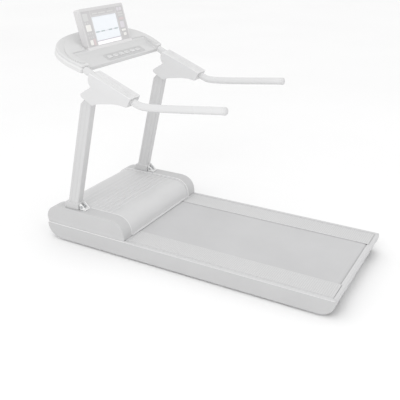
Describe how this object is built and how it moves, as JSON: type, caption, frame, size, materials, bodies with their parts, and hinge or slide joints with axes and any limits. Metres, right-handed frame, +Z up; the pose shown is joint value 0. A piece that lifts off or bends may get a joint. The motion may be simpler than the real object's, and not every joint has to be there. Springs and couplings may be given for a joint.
{
  "type": "treadmill",
  "caption": "Motorised treadmill: low running deck with belt and foot rails, ribbed motor hood, two leaning posts, long handrails and a tray console with a tilted display.",
  "frame": {"origin": "on the floor, under the middle of the object's overall box", "axes": "+X to the walker's right, +Y forward to the motor hood, +Z up"},
  "size_m": [0.84, 1.9, 1.4144],
  "materials": {
    "shell_plastic": "pale grey, fine moulded texture",
    "hood_plastic": "pale grey, ribbed, fine texture",
    "console_plastic": "pale grey, fine texture",
    "post_paint": "off-white powder coat",
    "rail_paint": "near-white powder coat",
    "grip_rubber": "pale grey, moulded ribs",
    "belt_rubber": "pale grey woven-grain running belt",
    "machined_steel": "turned",
    "frame_paint": "grey powder coat",
    "motor_paint": "dark grey enamel",
    "deck_board": "pressed board, waxed",
    "dark_plastic": "dark grey",
    "wheel_rubber": "dark grey",
    "bezel_plastic": "pale grey, fine texture",
    "screen": "lit, pale blue-white",
    "key_plastic": "off-white, satin"
  },
  "bodies": {
    "base": {"side_panel_left": "shell_plastic", "side_panel_right": "shell_plastic", "foot_rail_left": "shell_plastic", "foot_rail_right": "shell_plastic", "hood_cap_left": "shell_plastic", "hood_cap_right": "shell_plastic", "hood_cover": "hood_plastic", "console_tray": "console_plastic", "console_deck": "console_plastic", "post_left": "post_paint", "post_right": "post_paint", "post_foot_left": "post_paint", "post_foot_right": "post_paint", "gusset_left": "post_paint", "gusset_right": "post_paint", "handrail_left": "rail_paint", "handrail_right": "rail_paint", "post_bracket_left": "rail_paint", "post_bracket_right": "rail_paint", "grip_pad_left": "grip_rubber", "grip_pad_right": "grip_rubber", "walking_belt": "belt_rubber", "front_axle": "machined_steel", "rear_axle": "machined_steel", "side_frame_left": "frame_paint", "side_frame_right": "frame_paint", "middle_crossmember": "frame_paint", "rear_crossmember": "frame_paint", "front_crossmember": "frame_paint", "motor_pan": "frame_paint", "drive_motor": "motor_paint", "lift_motor": "motor_paint", "deck_board": "deck_board", "rear_guard": "dark_plastic", "drive_belt": "dark_plastic", "motor_controller": "dark_plastic", "power_inlet": "dark_plastic", "handrail_cap_left": "dark_plastic", "handrail_cap_right": "dark_plastic", "rear_foot_left": "wheel_rubber", "rear_foot_right": "wheel_rubber", "display_housing": "bezel_plastic", "display_bezel": "bezel_plastic", "lcd_screen": "screen"},
    "lift_frame": {"lift_frame": "frame_paint"},
    "lift_wheel_left": {"lift_wheel_left": "wheel_rubber"},
    "lift_wheel_right": {"lift_wheel_right": "wheel_rubber"},
    "lift_tube": {"lift_tube": "machined_steel"},
    "lift_screw": {"lift_screw": "machined_steel"},
    "front_roller": {"front_roller": "machined_steel", "roller_pulley": "machined_steel"},
    "rear_roller": {"rear_roller": "machined_steel"},
    "flywheel": {"motor_flywheel": "machined_steel"},
    "power_rocker": {"power_switch": "wheel_rubber"},
    "button_1": {"button_1": "key_plastic"},
    "button_2": {"button_2": "key_plastic"},
    "button_3": {"button_3": "key_plastic"},
    "button_4": {"button_4": "key_plastic"},
    "button_5": {"button_5": "key_plastic"},
    "button_6": {"button_6": "key_plastic"}
  },
  "joints": [
    {"name": "incline", "type": "hinge", "parent": "base", "child": "lift_frame", "pos_m": [0, 0.56, 0.056], "axis": [-1, 0, 0], "range_deg": [0, 20]},
    {"name": "lift_tube_slide", "type": "slide", "parent": "base", "child": "lift_tube", "axis": [0, 1, 0], "range_m": [0, 0.027]},
    {"name": "lift_screw_turn", "type": "hinge", "parent": "base", "child": "lift_screw", "pos_m": [0.15, 0.7, 0.131], "axis": [0, 1, 0], "range_deg": [0, 972]},
    {"name": "lift_wheel_left_spin", "type": "hinge", "parent": "lift_frame", "child": "lift_wheel_left", "pos_m": [-0.27, 0.83, 0.025], "axis": [1, 0, 0], "continuous": true},
    {"name": "lift_wheel_right_spin", "type": "hinge", "parent": "lift_frame", "child": "lift_wheel_right", "pos_m": [0.27, 0.83, 0.025], "axis": [1, 0, 0], "continuous": true},
    {"name": "front_roller_spin", "type": "hinge", "parent": "base", "child": "front_roller", "pos_m": [0, 0.425, 0.077], "axis": [1, 0, 0], "continuous": true},
    {"name": "rear_roller_spin", "type": "hinge", "parent": "base", "child": "rear_roller", "pos_m": [0, -0.9, 0.077], "axis": [1, 0, 0], "continuous": true},
    {"name": "motor_spin", "type": "hinge", "parent": "base", "child": "flywheel", "pos_m": [-0.18, 0.64, 0.125], "axis": [1, 0, 0], "continuous": true},
    {"name": "power_rocker_tilt", "type": "hinge", "parent": "base", "child": "power_rocker", "pos_m": [-0.241, 0.937, 0.118], "axis": [-1, 0, 0], "range_deg": [0, 16]},
    {"name": "button_1_press", "type": "slide", "parent": "base", "child": "button_1", "axis": [0, 0.3795, -0.9252], "range_m": [0, 0.002], "stiffness_N_per_m": 600, "springref_m": -0.001},
    {"name": "button_2_press", "type": "slide", "parent": "base", "child": "button_2", "axis": [0, 0.3795, -0.9252], "range_m": [0, 0.002], "stiffness_N_per_m": 600, "springref_m": -0.001},
    {"name": "button_3_press", "type": "slide", "parent": "base", "child": "button_3", "axis": [0, 0.3795, -0.9252], "range_m": [0, 0.002], "stiffness_N_per_m": 600, "springref_m": -0.001},
    {"name": "button_4_press", "type": "slide", "parent": "base", "child": "button_4", "axis": [0, 0.3795, -0.9252], "range_m": [0, 0.002], "stiffness_N_per_m": 600, "springref_m": -0.001},
    {"name": "button_5_press", "type": "slide", "parent": "base", "child": "button_5", "axis": [0, 0.3795, -0.9252], "range_m": [0, 0.002], "stiffness_N_per_m": 600, "springref_m": -0.001},
    {"name": "button_6_press", "type": "slide", "parent": "base", "child": "button_6", "axis": [0, 0.3795, -0.9252], "range_m": [0, 0.002], "stiffness_N_per_m": 600, "springref_m": -0.001}
  ],
  "couplings": [
    {"joint": "lift_tube_slide", "follows": "incline", "m_per_rad": 0.07608},
    {"joint": "lift_screw_turn", "follows": "incline", "ratio": 47.801},
    {"joint": "rear_roller_spin", "follows": "front_roller_spin", "ratio": 1},
    {"joint": "motor_spin", "follows": "front_roller_spin", "ratio": 2.25}
  ]
}
